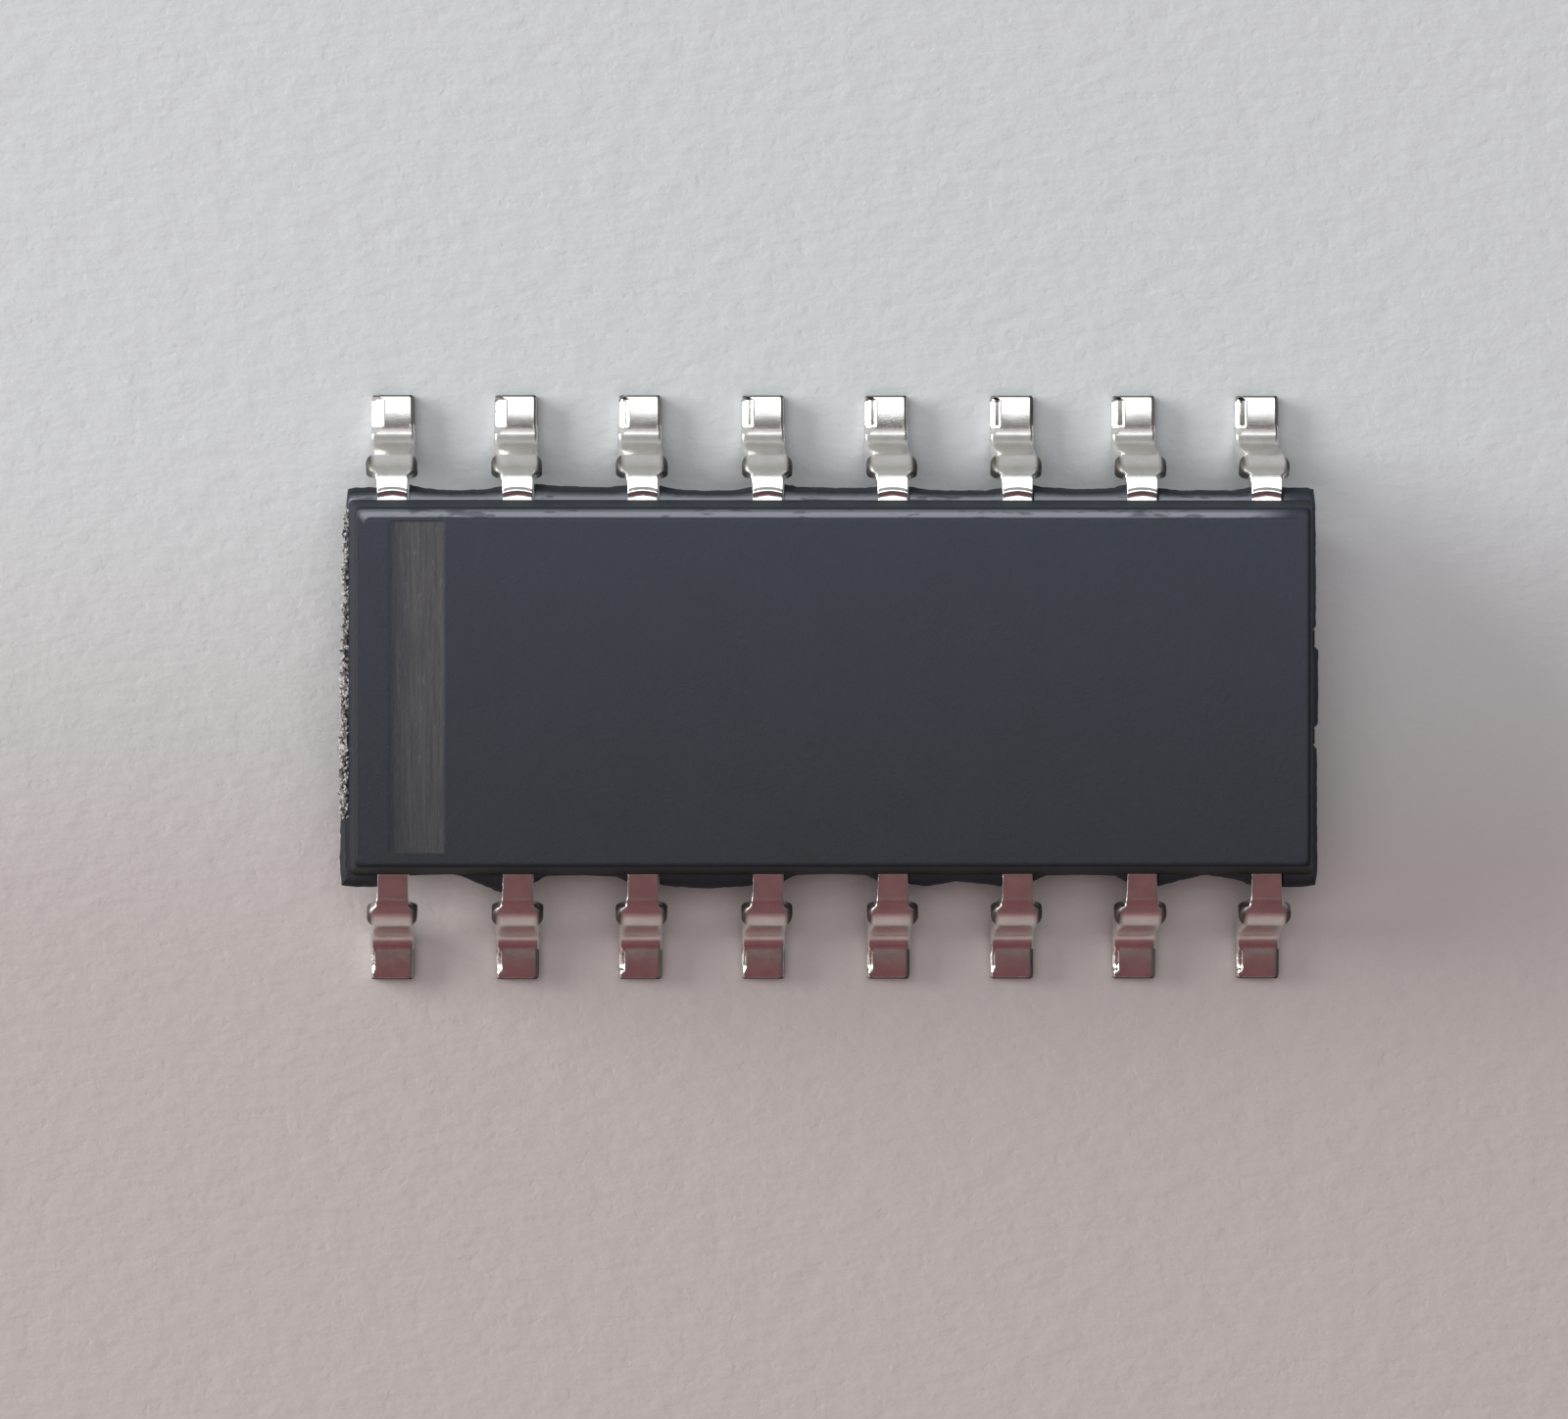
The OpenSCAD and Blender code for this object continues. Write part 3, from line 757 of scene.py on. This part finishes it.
def crumb_tree():
    """Geometry Nodes: a row of torn crumbs along a line, each turned, sized and moved at random."""
    tree, given, output = geometry_tree("Crumb Row", {
        "Start": "Vector", "End": "Vector", "Count": "Int", "Scatter": "Vector",
        "Smallest": "Vector", "Largest": "Vector", "Seed": "Int", "Finish": "Material"})
    line = tree.add("GeometryNodeMeshLine", {
        "Count": given["Count"], "Start Location": given["Start"], "Offset": given["End"],
    }, mode="END_POINTS")
    spot = tree.add("GeometryNodeMeshToPoints", {"Mesh": line})

    def chance(low, high, extra):
        return tree.add("FunctionNodeRandomValue", {
            "Min": low, "Max": high, "Seed": tree.maths("ADD", given["Seed"], extra),
        }, data_type="FLOAT_VECTOR").outputs["Value"]

    scatter = given["Scatter"]
    spread = tree.add("GeometryNodeSetPosition", {
        "Geometry": spot, "Offset": chance(tree.vector("SCALE", scatter, -1.0), scatter, 0)})
    grain = tree.add("GeometryNodeMeshIcoSphere", {"Radius": 0.5, "Subdivisions": 2})
    torn = tree.add("GeometryNodeSetPosition", {
        "Geometry": grain.outputs["Mesh"], "Offset": jitter(tree, {"Scale": 1.7, "Detail": 1.0})})
    row = tree.add("GeometryNodeInstanceOnPoints", {
        "Points": spread, "Instance": torn, "Rotation": chance((0, 0, 0), (6.28,) * 3, 1),
        "Scale": chance(given["Smallest"], given["Largest"], 2)})
    return end_tree(tree, row, given["Finish"], output)


class CHIP_OT_crumbs(bpy.types.Operator):
    """Scatter torn crumbs along the flash of the left end"""
    bl_idname = "chip.crumbs"
    bl_label = "Torn End"

    def execute(self, context):
        body = context.scene.chip_body
        piece = new_piece("torn_end", [], [])
        x = -(body.half_length + 0.35 * body.end_flash)
        y = body.half_width - 0.1 * MM
        z = (LEAD_HIGH - 0.02) * MM
        add_tree(piece, crumb_tree(), {
            "Start": (x + 0.01 * MM, y, z), "End": (x - 0.03 * MM, -0.74 * y, z),
            "Count": body.crumbs, "Scatter": (0.048 * MM, 0.03 * MM, 0.03 * MM),
            "Smallest": (0.018 * MM,) * 3, "Largest": (0.06 * MM,) * 3,
            "Seed": body.seed, "Finish": crumb_material(body)})
        bake_modifiers(piece, 25)
        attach(piece, "root")
        return {"FINISHED"}


class CHIP_OT_body(bpy.types.Operator):
    """Make the moulded body with its flash, rounded edges and pin 1 stripe"""
    bl_idname = "chip.body"
    bl_label = "Moulded Body"

    def execute(self, context):
        body = context.scene.chip_body
        piece = new_piece("moulded_body", *body_skin(body))
        add_tree(piece, break_tree(), {
            "Break Depth": body.break_depth, "Break Grain": body.break_grain,
            "Seed": body.seed, "Finish": compound_material(body)})
        bake_modifiers(piece, 32)
        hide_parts("mould_body")
        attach(piece, "root")
        return {"FINISHED"}


# ---- leads

# A finger's tip by rank from the middle of its row, from the chip's middle
FINGERTIPS = ((0.635, 1.1), (1.3, 1.1), (1.5, 0.72), (1.5, 0.36))
FINGER_WIDTH, FINGER_EDGE, FINGER_STEPS = 0.24, 0.02, 5
EAR_WIDTH = 0.46
TURN_Y = 1.3
EARS = (1.46, 1.6)
LOWER_EDGE, HELD_EDGE = 0.015, 0.02
# A worn facet across a corner: (share of its width inwards, share of its depth under the top)
FACET = ((1.0, 0.0), (0.93, 0.16), (0.84, 0.26), (0.6, 0.42), (0.35, 0.62), (0.12, 0.84),
         (0.0, 1.0))
FACET_RISE = 0.72


def side_of(i):
    return -1 if i <= SIDE_LEADS else 1


def lead_x(i):
    return column_x(i - 1 if i <= SIDE_LEADS else LEAD_COUNT - i)


def bend_lengths(lead, far):
    """Places along a flat lead, how far its bends turn, and how much further out it lies."""
    out = 0.0 if far else lead.near_step / MM
    upper, lower, foot = lead.shoulder_radius / MM, lead.ankle_radius / MM, lead.foot / MM - out
    turn = math.pi / 2 - lead.shank_lean
    middle = LEAD_HIGH - SHEET / 2
    in_bends = (upper + lower) * (1 - math.cos(turn))
    shank = (middle - SHEET / 2 - in_bends) / math.sin(turn)
    across = (upper + lower) * math.sin(turn) + shank * math.cos(turn)
    start = TIP_Y - foot - across
    toe = start + (upper + lower) * turn + shank + foot
    return {"start": start, "turn": turn, "shank": shank, "middle": middle, "out": out,
            "upper": upper, "lower": lower, "toe": toe, "heel": toe - foot}


def outer_widths(lead, b):
    """Stations of a flat lead from its ears outwards: (y, width, upper corner, share cut at the
    stubs).
    """
    neck, throat = lead.neck_width / MM, lead.throat_width / MM
    stub, blade = lead.stub_width / MM, lead.blade_width / MM
    edge, toe, out = lead.edge_radius / MM, b["toe"], b["out"]
    return [
        (EARS[0], EAR_WIDTH, 0.02, 0), (EARS[1], EAR_WIDTH, 0.02, 0),
        (EARS[1] + 0.004, neck, 0.02, 0), (WALL_Y, neck, 0.008, 0),
        (out + 2.08, throat, 0.01, 0), (out + 2.11, throat + 0.015, 0.02, 0.1),
        (out + 2.14, blade - 0.08, 0.04, 0.3), (out + 2.17, stub - 0.055, 0.05, 0.8),
        (out + 2.20, stub - 0.015, 0.06, 1), (out + 2.23, stub, 0.06, 1),
        (out + 2.28, stub, 0.06, 1), (out + 2.31, stub - 0.015, 0.06, 1),
        (out + 2.34, stub - 0.055, 0.05, 0.6), (out + 2.36, blade - 0.01, 0.05, 0),
        (out + 2.50, blade, 0.04, 0), (toe - 0.42, blade + 0.01, 0.8 * edge, 0),
        (toe - 0.3, blade, edge, 0), (toe - 0.05, blade, edge, 0),
        (toe - 0.024, blade - 0.006, edge, 0), (toe - 0.012, blade - 0.012, edge, 0),
        (toe, blade - 0.04, 0.8 * edge, 0),
    ]


def top_profile(x, y, far, lead, heel):
    """Height of a flat lead's top over the sheet: a droop, a resin lip and a crowned foot."""
    droop = -0.03 * clamp(y - WALL_Y, 0, 0.24)
    lip = 0.008 * math.exp(-((y + 1.4 * x * x - 2.0) / 0.026) ** 2) if far else 0.0
    along = max(0.0, y - heel)
    rise, radius = (0.05, 0.8 * lead.crown) if far else (0.0, 1.6 * lead.crown)
    return droop + lip + rise * along - along * along / (2 * radius / MM)


def lead_section(width, corner, facet=0.0, worn=0.0, left=True):
    """Outline of the sheet, seen along the lead: rounded upper corners, one of them worn flat."""
    half, low, top = width / 2, LOWER_EDGE, SHEET / 2
    corner = min(corner, 0.45 * width, 0.9 * SHEET)
    from_right = half - HELD_EDGE - max(corner, 0 if left else worn * facet)
    to_left = -half + HELD_EDGE + max(corner, worn * facet if left else 0)
    out = []
    for cx, cz, radius, start, steps in (
            (half - corner, top - corner, corner, 0, 6),
            (-half + corner, top - corner, corner, 90, 6),
            (-half + low, -top + low, low, 180, 2),
            (half - low, -top + low, low, 270, 2)):
        for k in range(steps + 1):
            a = math.radians(start + 90 * k / steps)
            x, z = cx + radius * math.cos(a), cz + radius * math.sin(a)
            if worn and start == (90 if left else 0):
                inwards, under = FACET[k if left else steps - k]
                flat_x = half - facet * inwards
                flat_z = top - FACET_RISE * facet * under
                x += worn * ((-flat_x if left else flat_x) - x)
                z += worn * (flat_z - z)
            out.append((x, z))
        if start == 0:
            out += [(x, top) for x in np.linspace(from_right, to_left, 5)]
    return out


def flat_lead(i, lead):
    """The punched lead before it is bent: points, faces and masks, with its finger inside."""
    far = side_of(i) > 0
    b = bend_lengths(lead, far)
    toe, heel = b["toe"], b["heel"]
    turned_x = side_of(i) * lead_x(i)
    tip_x, tip_y = FINGERTIPS[int(abs(turned_x) / PITCH)]
    tip = Vector((math.copysign(tip_x, turned_x) - turned_x, tip_y))
    turn, ear = Vector((0.0, TURN_Y)), Vector((0.0, EARS[0] - 0.01))
    first, second = (turn - tip).normalized(), (ear - turn).normalized()
    bisector = Vector((first.y + second.y, -first.x - second.x))
    bisector *= 2 / bisector.length_squared
    side, square = Vector((first.y, -first.x)), Vector((1.0, 0.0))
    rings = [(tip.lerp(turn, k / FINGER_STEPS), side, FINGER_WIDTH - (0 if k else FINGER_EDGE),
              FINGER_EDGE, 0) for k in range(FINGER_STEPS)]
    rings += [(turn, bisector, FINGER_WIDTH, FINGER_EDGE, 0),
              (ear, square, FINGER_WIDTH, FINGER_EDGE, 0)]

    table = np.array(outer_widths(lead, b))
    fine = set(table[:, 0]) | set(np.linspace(1.7, toe, 76)[1:-1])
    if far:
        fine |= set(np.linspace(1.92, 2.04, 16))
    kept = thin(fine, 0.0035)
    kept[-1] = toe
    rng = np.random.default_rng(lead.seed * 100 + i)
    wobble = rng.uniform(-0.006, 0.006, 4)[0]
    for y in kept:
        width, corner, cut = (float(np.interp(y, table[:, 0], table[:, c])) for c in (1, 2, 3))
        width += wobble * math.sin(3 * y) if y > 2.4 else 0.0
        rings.append((Vector((0.0, y)), square, width, corner, cut))
    stub_left, stub_right = rng.uniform(-0.02, 0.012, 2)
    skew = side_of(i) * (lead.skew / MM + rng.uniform(-0.012, 0.012))
    facet = lead.facet / MM * (rng.uniform(0.85, 1.1) if far else rng.uniform(0.35, 0.55))
    strained_to = heel + (0.05 if far else -0.04)

    points, masks = [], []
    for middle, across, width, corner, cut in rings:
        y = middle.y
        lean = clamp((y - 2.1) / 0.6) * skew
        worn = clamp((y - (heel - 0.02)) / 0.08)
        worn *= clamp((toe - y) / 0.05 - (0 if far else 1.5), 0.35 if far else 0)
        strained = clamp(min((y - b["start"] - 0.01) / 0.05, (strained_to - y) / 0.03))
        for x, z in lead_section(width, corner, facet, worn, far):
            shift = (stub_left if x < 0 else stub_right) * cut if abs(x) > 0.18 else 0.0
            x += math.copysign(shift, x) + lean
            if z > 0:
                z += top_profile(x, y, far, lead, heel)
            points.append((middle.x + across.x * x, y + across.y * x, z))
            sheared = cut * clamp((abs(x - lean) - 0.19) / 0.03)
            # Painted shade: on the feet, the edge that faces +X is darkened like a bare cut
            if y > toe - 0.3:
                sheared = max(sheared, clamp(((x if far else -x) - width / 2 + 0.05) / 0.02))
            if y > toe - 0.022:
                sheared = 1.0
            masks.append((sheared, strained))
    size = len(lead_section(0.3, 0.02))
    faces = ring_faces(len(rings), size, turned=True)
    last = (len(rings) - 1) * size
    faces += [tuple(range(size)), tuple(last + k for k in reversed(range(size)))]
    return points, faces, dict(zip(LEAD_MASKS, zip(*masks)))


def forming_tree():
    """Geometry Nodes: bends a flat lead over shoulder and ankle and sets it in its column."""
    tree, given, output = geometry_tree("Form Lead", {
        "Sheet Middle": "Float", "Shoulder Corner": "Vector", "Ankle Corner": "Vector",
        "Toe": "Vector", "Shoulder Radius": "Float", "Ankle Radius": "Float",
        "Unevenness": "Float", "Seed": "Int", "Column": "Float", "Turned": "Float",
        "Finish": "Material"})
    start = tree.add("ShaderNodeCombineXYZ", {2: given["Sheet Middle"]})
    line = tree.add("GeometryNodeCurvePrimitiveQuadrilateral", {
        "Point 1": start, "Point 2": given["Shoulder Corner"],
        "Point 3": given["Ankle Corner"], "Point 4": given["Toe"]}, mode="POINTS")
    path = tree.add("GeometryNodeSetSplineCyclic", {"Geometry": line, "Cyclic": False})
    at_ankle = tree.maths("GREATER_THAN", tree.add("GeometryNodeInputIndex"), 1.5)
    radius = tree.add("GeometryNodeSwitch", {
        "Switch": at_ankle, "False": given["Shoulder Radius"], "True": given["Ankle Radius"],
    }, input_type="FLOAT")
    bent = tree.add("GeometryNodeFilletCurve", {
        "Curve": path, "Radius": radius, "Count": 24}, mode="POLY")

    flat_x, flat_y, flat_z = tree.axes(tree.add("GeometryNodeInputPosition"))
    sample = tree.add("GeometryNodeSampleCurve", {
        "Curves": bent, "Length": flat_y}, mode="LENGTH", data_type="FLOAT")
    upright = tree.vector("CROSS_PRODUCT", (1, 0, 0), sample.outputs["Tangent"])
    raised = tree.vector("SCALE", tree.vector("NORMALIZE", upright), flat_z)
    across = tree.add("ShaderNodeCombineXYZ", {0: flat_x})
    moved = tree.vector("ADD", tree.vector("ADD", sample.outputs["Position"], raised), across)
    formed = tree.add("GeometryNodeSetPosition", {
        "Geometry": given["Geometry"], "Position": moved})

    waves = jitter(tree, {"W": given["Seed"], "Scale": 5.5 / MM, "Detail": 2.0})
    uneven = tree.add("GeometryNodeSetPosition", {
        "Geometry": formed, "Offset": tree.vector("SCALE", waves, given["Unevenness"])})
    placed = tree.add("GeometryNodeTransform", {
        "Geometry": uneven, "Rotation": tree.add("ShaderNodeCombineXYZ", {2: given["Turned"]}),
        "Translation": tree.add("ShaderNodeCombineXYZ", {0: given["Column"]})})
    return end_tree(tree, placed, given["Finish"], output)


class CHIP_OT_leads(bpy.types.Operator):
    """Punch, bend and plate the sixteen gull-wing leads"""
    bl_idname = "chip.leads"
    bl_label = "Gull-Wing Leads"

    def execute(self, context):
        lead = context.scene.chip_leads
        paint = plating_material(lead)
        tree = forming_tree()
        for i in range(1, LEAD_COUNT + 1):
            b = bend_lengths(lead, side_of(i) > 0)
            turn, middle = b["turn"], b["middle"]
            reach = math.tan(turn / 2)
            shoulder_y = b["start"] + b["upper"] * reach
            down = (b["upper"] + b["lower"]) * reach + b["shank"]
            ankle = Vector((0, shoulder_y + down * math.cos(turn), middle - down * math.sin(turn)))
            toe = Vector((0, TIP_Y + 0.001, ankle.z))
            piece = new_piece(f"formed_lead_{i}", *flat_lead(i, lead))
            add_tree(piece, tree, {
                "Sheet Middle": middle * MM, "Shoulder Corner": (0, shoulder_y * MM, middle * MM),
                "Ankle Corner": tuple(ankle * MM), "Toe": tuple(toe * MM),
                "Shoulder Radius": b["upper"] * MM, "Ankle Radius": b["lower"] * MM,
                "Unevenness": lead.unevenness, "Seed": lead.seed * 100 + i,
                "Column": lead_x(i) * MM + lead.shift,
                "Turned": 0.0 if side_of(i) > 0 else math.pi, "Finish": paint})
            bake_modifiers(piece, 40)
            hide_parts(f"lead_{i}")
            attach(piece, "root")
        return {"FINISHED"}


# ---- inside

TIE_CUT_X = 4.80


class CHIP_OT_inside(bpy.types.Operator):
    """Finish the die, its paddle, its adhesive and the bond wires"""
    bl_idname = "chip.inside"
    bl_label = "Inside"

    def execute(self, context):
        copper, gold = (0.72, 0.43, 0.28), (0.83, 0.62, 0.22)
        paints = {
            "die_paddle": metal_material("leadframe_copper", copper, 0.35, 3.0, TIE_CUT_X),
            "die_attach": adhesive_material(),
            "die": silicon_material(),
            "bond_wire": metal_material("bond_gold", gold, 0.22, 20.0),
        }
        for name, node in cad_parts.items():
            kind = "bond_wire" if name.startswith("bond_wire") else name
            if kind in paints:
                node.data.materials.clear()
                node.data.materials.append(paints[kind])
        return {"FINISHED"}


# ---- stage

# Half the floor's side, and where the camera stands and looks, in millimetres
FLOOR_HALF = 400
CAMERA_X = -1.975
TARGET = (-0.46, -0.23, 0)
# Name and setting, width and height in metres, azimuth and elevation in degrees, distance in
# metres, tint, and whether the metal mirrors it
LAMPS = (
    ("window", 0.13, 0.07, 162, 20, 0.2, (1.0, 0.98, 0.95), True),
    ("softbox", 0.30, 0.068, 90, 79.4, 0.25, (0.95, 0.98, 1.0), True),
    ("fill", 0.3, 0.3, 250, 80, 0.3, (1.0, 0.90, 0.88), False),
)


def room_light(world):
    """A plain soft room: pale low down, grey above and behind, dim and warm above the front."""
    world.use_nodes = True
    tree = Tree(world.node_tree)
    sky = world.node_tree.nodes["Background"]
    right, behind, up = tree.axes(tree.add("ShaderNodeTexCoord").outputs["Generated"])
    above = tree.blend(tree.spread(behind, -0.065, -0.045), (0.19, 0.068, 0.078),
                       (0.15, 0.15, 0.14))
    above = tree.blend(tree.spread(behind, 0.036, 0.056), above, (0.40, 0.41, 0.41))
    above = tree.blend(tree.spread(right, 0.10, 0.55), above, (0.10, 0.09, 0.09))
    low = tree.blend(tree.spread(behind, -0.8, -0.1), (0.52, 0.38, 0.38), (0.60, 0.58, 0.57))
    low = tree.blend(tree.spread(right, 0.25, 0.7), low, (0.14, 0.13, 0.13))
    tree.put(sky.inputs["Color"], tree.blend(tree.spread(up, 0.16, 0.48), low, above))
    sky.inputs["Strength"].default_value = 1.0


def facing(right, back):
    """The turn of a lamp or a camera whose own X and Z point along two directions."""
    return Matrix((right, back.cross(right), back)).transposed().to_euler()


def add_lamp(name, watts, width, height, azimuth, elevation, away, tint, mirrored):
    """A rectangular lamp that faces the chip."""
    light = bpy.data.lights.new(name, "AREA")
    light.shape = "RECTANGLE"
    light.size, light.size_y = width, height
    light.energy = watts
    light.color = tint
    lamp = bpy.data.objects.new(name, light)
    turn, rise = math.radians(azimuth), math.radians(elevation)
    back = Vector((math.cos(turn) * math.cos(rise), math.sin(turn) * math.cos(rise),
                   math.sin(rise)))
    lamp.location = away * back
    lamp.rotation_euler = facing(Vector((-math.sin(turn), math.cos(turn), 0)), back)
    lamp.visible_camera = False
    lamp.visible_glossy = mirrored
    bpy.context.scene.collection.objects.link(lamp)


class CHIP_OT_stage(bpy.types.Operator):
    """Set the floor, the light and the camera"""
    bl_idname = "chip.stage"
    bl_label = "Stage"

    def execute(self, context):
        stage = context.scene.chip_stage
        scene = context.scene
        scene.view_settings.view_transform = "Standard"
        half = FLOOR_HALF
        rim = [(-half, -half, 0), (half, -half, 0), (half, half, 0), (-half, half, 0)]
        floor = new_piece("floor", rim, [(0, 1, 2, 3)])
        floor.data.materials.append(paper_material(stage))

        world = bpy.data.worlds.new("room")
        scene.world = world
        room_light(world)
        for name, *place in LAMPS:
            add_lamp(name, getattr(stage, name), *place)

        view = bpy.data.cameras.new("camera")
        view.lens = stage.lens
        view.sensor_width = 36
        view.clip_start, view.clip_end = 0.002, 5
        camera = bpy.data.objects.new("camera", view)
        camera.location = Vector((CAMERA_X * MM, 0, stage.height))
        back = (camera.location - Vector(TARGET) * MM).normalized()
        camera.rotation_euler = facing(Vector((0, 1, 0)).cross(back).normalized(), back)
        scene.collection.objects.link(camera)
        scene.camera = camera
        return {"FINISHED"}


# ---- panel

class CHIP_PT_sidebar(bpy.types.Panel):
    """Lists the chip's pieces and their sizes"""
    bl_idname = "CHIP_PT_sidebar"
    bl_label = "Small-Outline Chip"
    bl_space_type = "VIEW_3D"
    bl_region_type = "UI"
    bl_category = "Chip"

    def draw(self, context):
        for operator, settings in STEPS:
            self.layout.operator(operator.bl_idname)
            if settings:
                group = getattr(context.scene, settings)
                for name in group.__annotations__:
                    self.layout.prop(group, name)


STEPS = (
    (CHIP_OT_stage, "chip_stage"),
    (CHIP_OT_body, "chip_body"),
    (CHIP_OT_crumbs, None),
    (CHIP_OT_leads, "chip_leads"),
    (CHIP_OT_inside, None),
)
GROUPS = {
    "chip_body": ChipBodySettings,
    "chip_leads": ChipLeadSettings,
    "chip_stage": ChipStageSettings,
}


def register():
    for group in GROUPS.values():
        bpy.utils.register_class(group)
    for operator, _ in STEPS:
        bpy.utils.register_class(operator)
    bpy.utils.register_class(CHIP_PT_sidebar)
    for name, group in GROUPS.items():
        setattr(bpy.types.Scene, name, PointerProperty(type=group))


def unregister():
    for name in GROUPS:
        delattr(bpy.types.Scene, name)
    bpy.utils.unregister_class(CHIP_PT_sidebar)
    for operator, _ in reversed(STEPS):
        bpy.utils.unregister_class(operator)
    for group in GROUPS.values():
        bpy.utils.unregister_class(group)


def main():
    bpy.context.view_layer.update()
    register()
    for operator, _ in STEPS:
        group, name = operator.bl_idname.split(".")
        getattr(getattr(bpy.ops, group), name)()


if __name__ == "__main__":
    main()
